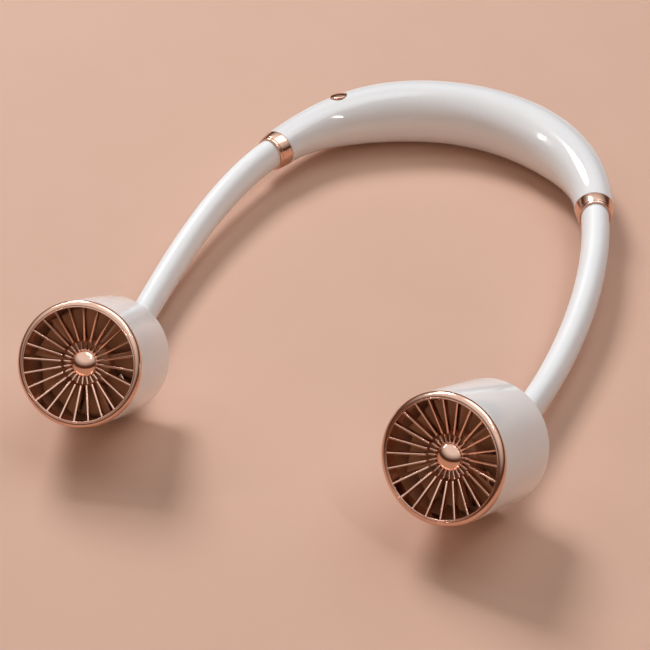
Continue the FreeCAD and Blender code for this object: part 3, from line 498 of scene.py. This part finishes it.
# %% Collars
COLLAR_RINGS = ((0, 9.1, 9.1), (5.35, 7.8, 8.8), (5.5, 7.5, 8.5), (5.65, 7.75, 8.8), (7, 7.4, 8.7),
                (7, 6.4, 7.7), (4, 6.4, 7.7), (4, 3.1, 3.1), (-5, 3.1, 3.1), (-5, 7.2, 7.2),
                (0, 7.2, 7.2))
COLLAR_BEVELS = ((0, 0.5), (1, 0.12), (3, 0.3), (4, 0.45), (5, 0.2))
COLLAR_BEVEL_STEPS = 5
COLLAR_SIDES = 72

for name, facts in SIDES.items():
    spot, along = band_spot(facts["side"] * BAND_HALF_ANGLE)[:2]
    heading = along * facts["side"]
    across = heading.cross(UP)
    bm = bmesh.new()
    rings = pulled(bm, [oval(spot + heading * run, across, UP, wide, tall)
                        for run, wide, tall in COLLAR_RINGS], COLLAR_SIDES)
    bmesh.ops.bridge_loops(bm, edges=rings[0] + rings[-1])
    bmesh.ops.recalc_face_normals(bm, faces=bm.faces)
    for ring, radius in COLLAR_BEVELS:
        bmesh.ops.bevel(bm, geom=rings[ring], offset=radius * MM, offset_type="OFFSET",
                        segments=COLLAR_BEVEL_STEPS, profile=0.5, affect="EDGES", material=-1)
    piece = make_piece(name + "_collar_ring", bm, "rose_gold")
    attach(piece, "neckband")
    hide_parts(name + "_collar")

# %% [markdown]
# ## The drums
# A drum is a short white tube with a rounded back edge. It is turned from four corners, with the round
# made on the outline before the spin, and three posts for the screws of the back stand inside it. A mesh
# can carry two finishes, so the faces of the bore and the posts get the second one, the brown plastic.

# %% Drums
DRUM_BORE = 23.0
DRUM_FRONT = HEAD_DEPTH - RIM_ROUND
POST_RING = 20.2
POST_RADIUS = 3.0
POST_FOOT = 2.5
POST_TOP = 13.6
POST_SIDES = 24
POST_COUNT = 3
DRUM_ROUNDS = ((0, 0.3), (1, HEAD_EDGE), (2, 0.25), (3, 0.2))
DRUM_MASK = 0.05
HEAD_STEPS = 128

post_turns = [Matrix.Rotation(2 * math.pi * i / POST_COUNT, 4, "Z") for i in range(POST_COUNT)]
for name, place in heads.items():
    bm = turned(((DRUM_BORE, 0), (HEAD_RADIUS, 0), (HEAD_RADIUS, DRUM_FRONT), (DRUM_BORE, DRUM_FRONT)),
                HEAD_STEPS, DRUM_ROUNDS)
    middle = Matrix.Translation((POST_RING * MM, 0, (POST_FOOT + POST_TOP) / 2 * MM))
    for turn in post_turns:
        bmesh.ops.create_cone(bm, cap_ends=True, segments=POST_SIDES, radius1=POST_RADIUS * MM,
                              radius2=POST_RADIUS * MM, depth=(POST_TOP - POST_FOOT) * MM,
                              matrix=turn @ middle)
    for face in bm.faces:
        face.material_index = face.calc_center_median().xy.length < (DRUM_BORE + DRUM_MASK) * MM
    bmesh.ops.transform(bm, matrix=place, verts=bm.verts)
    piece = make_piece(name + "_drum", bm, "white")
    piece.data.materials.append(brown_abs)
    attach(piece, name + "_head")
    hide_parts(name + "_drum_shell")

# %% [markdown]
# ## The grilles
# The front is one plated moulding: a rounded rim, twenty-four thin spokes that sink to the middle like a
# dish, and a small disc. The rim and the disc are turned. One spoke is a flat outline that is extruded to
# its thickness and bevelled, because a mirror only shows its edges where they are round, and a spin with
# copies makes the rest.

# %% Grilles
RIM_INNER = 22.2
RIM_SKIRT = 22.9
RIM_FOOT = 36.5
BEAD_OUTER = 22.7
GROOVE = 0.25
SPOKES = 24
SPOKE_THICKNESS = 0.8
SPOKE_EDGE = 0.22
SPOKE_EDGE_STEPS = 3
SPOKE_OUTLINE = ((22.5, 42.5), (8.8, 37.4), (8.3, 35.6), (5.1, 35.6), (5.1, 33.8), (8.8, 33.8),
                 (22.5, 39.5))
SEAT_RADIUS = 5.4
SEAT_BACK = 33.8
SEAT_FRONT = 35.6
SEAT_ROUNDS = ((2, 0.2),)
PIN_HOLE = 1.05
SMALL_STEPS = 64
RIM_FLAT = 0.55
RIM_ROUNDS = ((3, 0.15), (4, RIM_ROUND - RIM_FLAT), (5, 0.05), (7, 0.2), (8, 0.2))


def add_spoke(bm):
    """One spoke on the X axis, with rounded edges."""
    corners = [bm.verts.new((radius * MM, -SPOKE_THICKNESS / 2 * MM, height * MM))
               for radius, height in SPOKE_OUTLINE]
    face = bm.faces.new(corners)
    made = bmesh.ops.extrude_face_region(bm, geom=[face])["geom"]
    front = [item for item in made if isinstance(item, bmesh.types.BMVert)]
    bmesh.ops.translate(bm, vec=(0, SPOKE_THICKNESS * MM, 0), verts=front)
    corners += front
    faces = list(dict.fromkeys(found for corner in corners for found in corner.link_faces))
    bmesh.ops.recalc_face_normals(bm, faces=faces)
    edges = list(dict.fromkeys(edge for found in faces for edge in found.edges))
    bmesh.ops.bevel(bm, geom=edges, offset=SPOKE_EDGE * MM, offset_type="OFFSET",
                    segments=SPOKE_EDGE_STEPS, profile=0.5, affect="EDGES", material=-1)


for name, place in heads.items():
    bm = bmesh.new()
    add_spoke(bm)
    bmesh.ops.spin(bm, geom=bm.verts[:] + bm.edges[:] + bm.faces[:], axis=(0, 0, 1), use_duplicate=True,
                   angle=2 * math.pi * (SPOKES - 1) / SPOKES, steps=SPOKES - 1)
    rim = turned(((RIM_INNER, RIM_FOOT), (RIM_SKIRT, RIM_FOOT), (RIM_SKIRT, DRUM_FRONT),
                  (HEAD_RADIUS, DRUM_FRONT), (HEAD_RADIUS, HEAD_DEPTH), (BEAD_OUTER + GROOVE, HEAD_DEPTH),
                  (BEAD_OUTER + GROOVE / 2, HEAD_DEPTH - GROOVE), (BEAD_OUTER, HEAD_DEPTH),
                  (RIM_INNER, HEAD_DEPTH)), HEAD_STEPS, RIM_ROUNDS)
    seat = turned(((PIN_HOLE, SEAT_BACK), (SEAT_RADIUS, SEAT_BACK), (SEAT_RADIUS, SEAT_FRONT),
                   (PIN_HOLE, SEAT_FRONT)), SMALL_STEPS, SEAT_ROUNDS)
    add_shape(bm, rim)
    add_shape(bm, seat)
    bmesh.ops.transform(bm, matrix=place, verts=bm.verts)
    piece = make_piece(name + "_grille", bm, "rose_gold")
    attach(piece, name + "_head")
    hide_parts(name + "_front_grille")

# %% [markdown]
# ## The hub domes
# A polished dome sits in the middle of the spokes. Its curve is part of a ball, so one vertex is spun
# round the ball's middle to draw it, and the outline then goes down to the rim and the pin.

# %% Hub domes
DOME_RADIUS = 5.2
DOME_RIM = 1.4
DOME_RISE = 2.2
DOME_PIN = 1.0
DOME_PIN_LENGTH = 1.5
DOME_SIDES = 72

for name, place in heads.items():
    bm = turned(((DOME_RADIUS, SEAT_FRONT + DOME_RIM), (DOME_RADIUS, SEAT_FRONT), (DOME_PIN, SEAT_FRONT),
                 (DOME_PIN, SEAT_FRONT - DOME_PIN_LENGTH), (0, SEAT_FRONT - DOME_PIN_LENGTH)),
                DOME_SIDES, (), DOME_RISE)
    bmesh.ops.transform(bm, matrix=place, verts=bm.verts)
    piece = make_piece(name + "_hub_dome", bm, "rose_gold")
    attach(piece, name + "_head")
    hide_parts(name + "_hub_cap")

# %% [markdown]
# ## The power button
# The button is a plated cap, a little proud of the band and slightly domed so that a thumb finds it. It
# leans outwards with the band's surface. A flange under the shell keeps it in, and a stem reaches down to
# the switch, so the whole button is one turned piece.

# %% Power button
BUTTON_DEGREES = -45.514
BUTTON_LEAN = math.radians(14)
BUTTON_RADIUS = 4.0
BUTTON_TOP = 13.06
BUTTON_CROWN = 0.6
BUTTON_FLANGE = 4.8
FLANGE_TOP = 8.92
FLANGE_FOOT = 8.12
STEM_RADIUS = 1.5
STEM_FOOT = 6.95
BUTTON_ROUNDS = ((0, 0.25),)

spot, along, outward = band_spot(BUTTON_DEGREES)
rise = outward * math.sin(BUTTON_LEAN) + UP * math.cos(BUTTON_LEAN)
button_turn = Matrix((along, rise.cross(along), rise)).transposed().to_4x4()
bm = turned(((BUTTON_RADIUS, BUTTON_TOP), (BUTTON_RADIUS, FLANGE_TOP), (BUTTON_FLANGE, FLANGE_TOP),
             (BUTTON_FLANGE, FLANGE_FOOT), (STEM_RADIUS, FLANGE_FOOT), (STEM_RADIUS, STEM_FOOT),
             (0, STEM_FOOT)), SMALL_STEPS, BUTTON_ROUNDS, BUTTON_CROWN)
bmesh.ops.transform(bm, matrix=Matrix.Translation(spot * MM) @ button_turn, verts=bm.verts)
piece = make_piece("button_cap", bm, "rose_gold")
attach(piece, "power_button")
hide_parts("power_button")

# %% [markdown]
# ## The screws
# Ten small steel screws hold the shells of the band and the backs of the drums. A screw is a short hose
# of rings: a rounded head, a shank and a point. The slot for the driver is a cross: its outline and the
# first ring are filled as one flat face, and the outline is then pushed in and drawn a little together.

# %% Screws
SCREW_SIDES = 32
SCREW_HEAD = ((0.72, 0.0), (0.88, 0.1), (0.98, 0.34), (1.0, 0.55), (1.0, 1.0))
SCREW_POINT = 0.8
SCREW_POINT_RADIUS = 0.35
SCREW_SHARP_DEGREES = 30
CROSS_ARMS = 4
CROSS_ARM = 0.62
CROSS_HALF = 0.17
CROSS_DEPTH = 0.6
CROSS_TAPER = 0.7


def add_screw(bm, place, head_radius, head_height, shank_radius, length):
    """A screw that points along Z from the outer face of its head. Its sizes are in millimetres."""
    across, up = Vector((1, 0, 0)), Vector((0, 1, 0))
    rings = [(head_radius * wide, head_height * deep) for wide, deep in SCREW_HEAD]
    rings += [(shank_radius, head_height), (shank_radius, length - SCREW_POINT),
              (shank_radius * SCREW_POINT_RADIUS, length)]
    screw = bmesh.new()
    loops = pulled(screw, [oval(UP * deep, across, up, wide, wide) for wide, deep in rings], SCREW_SIDES)
    bmesh.ops.contextual_create(screw, geom=loops[-1])
    arm, half = head_radius * CROSS_ARM * MM, head_radius * CROSS_HALF * MM
    corners = []
    for i in range(CROSS_ARMS):
        turn = Matrix.Rotation(2 * math.pi / CROSS_ARMS * i, 4, "Z")
        corners += [screw.verts.new(turn @ Vector(spot))
                    for spot in ((arm, -half, 0), (arm, half, 0), (half, half, 0))]
    outline = [screw.edges.new(pair) for pair in zip(corners, corners[1:] + corners[:1])]
    bmesh.ops.triangle_fill(screw, edges=loops[0] + outline, use_beauty=True)
    made = bmesh.ops.extrude_edge_only(screw, edges=outline)["geom"]
    deep_corners = [item for item in made if isinstance(item, bmesh.types.BMVert)]
    bmesh.ops.scale(screw, vec=(CROSS_TAPER, CROSS_TAPER, 1), verts=deep_corners)
    bmesh.ops.translate(screw, vec=UP * head_height * CROSS_DEPTH * MM, verts=deep_corners)
    bmesh.ops.contextual_create(screw, geom=[item for item in made if isinstance(item, bmesh.types.BMEdge)
                                             and set(deep_corners).issuperset(item.verts)])
    bmesh.ops.recalc_face_normals(screw, faces=screw.faces)
    bmesh.ops.transform(screw, matrix=place, verts=screw.verts)
    add_shape(bm, screw)


SHELL_SCREW_DEGREES = (-60.49, -30.54, 30.54, 60.49)
SHELL_SCREW_FOOT = 5.84
SHELL_SCREW = (1.9, 1.2, 1.0, 9.4)
BACK_SCREW = (1.7, 1.2, 0.9, 8.49)

bm = bmesh.new()
for degrees in SHELL_SCREW_DEGREES:
    spot = band_spot(degrees)[0]
    add_screw(bm, Matrix.Translation(Vector((spot.x, spot.y, SHELL_SCREW_FOOT)) * MM), *SHELL_SCREW)
piece = make_piece("shell_screws", bm, "steel", SCREW_SHARP_DEGREES)
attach(piece, "neckband")
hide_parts("band_screws")
for name, place in heads.items():
    bm = bmesh.new()
    for turn in post_turns:
        add_screw(bm, place @ turn @ Matrix.Translation((POST_RING * MM, 0, 0)), *BACK_SCREW)
    piece = make_piece(name + "_back_screws", bm, "steel", SCREW_SHARP_DEGREES)
    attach(piece, name + "_head")
    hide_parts(name + "_cover_screws")

# %% [markdown]
# ## Softer edges on moulded and pressed parts
# The fan wheels, the motor frames, the slotted backs and the charging socket have the right shape in the
# CAD model, but their edges are knife sharp, and real parts catch a thin line of light there. A copy of
# the CAD mesh is merged, its flat triangles are joined, and a Bevel modifier rounds what is still sharp.
# The backs are white outside and brown within, so their faces are sorted by height in the head.

# %% Softened copies
CAD_SAME_SPOT = MM / 200
FLAT_DEGREES = 0.5
BACK_SKIN = 0.2
SOFT_STEPS = 2
SOFTENED = [("charging_socket", "charge_port", "steel", "neckband", 0.08)]
for name in SIDES:
    SOFTENED += [(name + "_impeller", name + "_fan_wheel", "brown", name + "_rotor", 0.2),
                 (name + "_motor_mount", name + "_motor_frame", "brown", name + "_head", 0.2),
                 (name + "_rear_cover", name + "_slotted_back", "white", name + "_head", 0.25)]

for node, piece_name, slot, body, width in SOFTENED:
    bm = bmesh.new()
    bm.from_mesh(nodes[node].data)
    bmesh.ops.remove_doubles(bm, verts=bm.verts, dist=CAD_SAME_SPOT)
    bmesh.ops.dissolve_limit(bm, angle_limit=math.radians(FLAT_DEGREES), verts=bm.verts, edges=bm.edges)
    is_back = node.endswith("_rear_cover")
    if is_back:
        into_head = heads[node.removesuffix("_rear_cover")].inverted()
        for face in bm.faces:
            face.material_index = (into_head @ face.calc_center_median()).z > BACK_SKIN * MM
    piece = make_piece(piece_name, bm, slot)
    if is_back:
        piece.data.materials.append(brown_abs)
    bevel = piece.modifiers.new("soft_edges", "BEVEL")
    bevel.width = width * MM
    bevel.segments = SOFT_STEPS
    bevel.limit_method = "ANGLE"
    bevel.angle_limit = math.radians(SHARP_DEGREES)
    bevel.harden_normals = True
    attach(piece, body)
    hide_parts(node)

# %% [markdown]
# ## The floor
# The fan lies on a plain pale table top with a matt paper skin. One large face is enough, and a slow
# noise keeps its colour from being flat. It is not attached to any body of the fan.

# %% Floor
floor_paper, tree, shader, place = new_finish("pale_matt_paper", {"Roughness": 0.75})
fibre = add_node(tree, "ShaderNodeTexNoise", {"Vector": place, "Scale": per_mm(40), "Detail": 4})
tint = add_node(tree, "ShaderNodeMix",
                {"Factor": fibre, "A": linear("#D4AA93"), "B": linear("#D8B09A")}, data_type="RGBA")
fill_inputs(tree, shader, {"Base Color": tint})

FLOOR_SIZE = 3.0
FLOOR_DROP = -0.0001

bm = bmesh.new()
bmesh.ops.create_grid(bm, x_segments=1, y_segments=1, size=FLOOR_SIZE,
                      matrix=Matrix.Translation((0, 0, FLOOR_DROP)))
mesh = bpy.data.meshes.new("floor")
bm.to_mesh(mesh)
bm.free()
mesh.materials.append(floor_paper)
floor = bpy.data.objects.new("floor", mesh)
bpy.context.scene.collection.objects.link(floor)
print("floor", FLOOR_SIZE, "m")

# %% [markdown]
# ## The lamps
# A key lamp stands high at the back left and draws the shadows to the right. A wide soft box hangs over
# the back and whitens what faces up, and a weak warm lamp in front looks into the drums. It is not
# mirrored, because its round image would stand on every dome. Two thin upright strips give the band its
# two bright dots: the band is much rounder across than along, so only a strip is mirrored as a dot.

# %% Lamps
LAMPS = (("key", (-1.4, 1.3, 2.0), (1.0, 1.0), UP, 52.5, "#FAFCFF", True),
         ("top", (0.7, 1.1, 2.5), (2.2, 2.8), UP, 27.0, "#F4F9FF", True),
         ("front", (0.2, -1.05, 0.7), (0.8, 0.8), UP, 3.0, "#FFEADC", False),
         ("left_spark", (-0.677, -0.016, 0.712), (0.03, 0.3), Vector((-0.366, -0.581, -0.489)), 0.6,
          "#FFFFFF", True),
         ("right_spark", (0.48, -0.16, 0.829), (0.02, 0.3), Vector((0.424, -0.684, -0.502)), 0.6,
          "#FFFFFF", True))
for name, spot, lamp_size, tall, watts, colour, mirrored in LAMPS:
    lamp = bpy.data.lights.new(name, "AREA")
    lamp.shape = "ELLIPSE"
    lamp.size, lamp.size_y = lamp_size
    lamp.energy = watts
    lamp.color = linear(colour)[:3]
    holder = bpy.data.objects.new(name, lamp)
    shine = Vector(spot).normalized()
    across = tall.cross(shine).normalized()
    turn = Matrix((across, shine.cross(across), shine)).transposed().to_4x4()
    holder.matrix_world = Matrix.Translation(spot) @ turn
    holder.visible_glossy = mirrored
    bpy.context.scene.collection.objects.link(holder)
print("lamps:", [row[0] for row in LAMPS])

# %% [markdown]
# ## The room in the mirrors
# A mirror finish shows the room, and an even room would make it look like paint. So mirrored rays see
# a brown wall that turns white overhead, rays from the camera see a pale wall, and all other rays get a
# dim warm light, which leaves the shadows to the lamps. Light Path tells these rays apart.

# %% World
WALL_TOP = 0.25
CEILING = 0.72

world = bpy.data.worlds.new("studio")
world.use_nodes = True
tree = world.node_tree
direction = tree.nodes.new("ShaderNodeSeparateXYZ")
fill_inputs(tree, direction, {"Vector": add_node(tree, "ShaderNodeTexCoord", {})})
climb = add_node(tree, "ShaderNodeMapRange", {"Value": direction.outputs["Z"], "From Min": WALL_TOP,
                                              "From Max": CEILING})
room = add_node(tree, "ShaderNodeMix",
                {"Factor": climb, "A": linear("#553A2B"), "B": linear("#FFFFFF")}, data_type="RGBA")
path = tree.nodes.new("ShaderNodeLightPath")
seen = linear("#332A23")
for ray, shown in (("Is Glossy Ray", room), ("Is Camera Ray", linear("#EBDCD0"))):
    seen = add_node(tree, "ShaderNodeMix", {"Factor": path.outputs[ray], "A": seen, "B": shown},
                    data_type="RGBA")
fill_inputs(tree, tree.nodes["Background"], {"Color": seen})
bpy.context.scene.world = world
bpy.context.scene.view_settings.view_transform = "Standard"
print("world:", world.name)
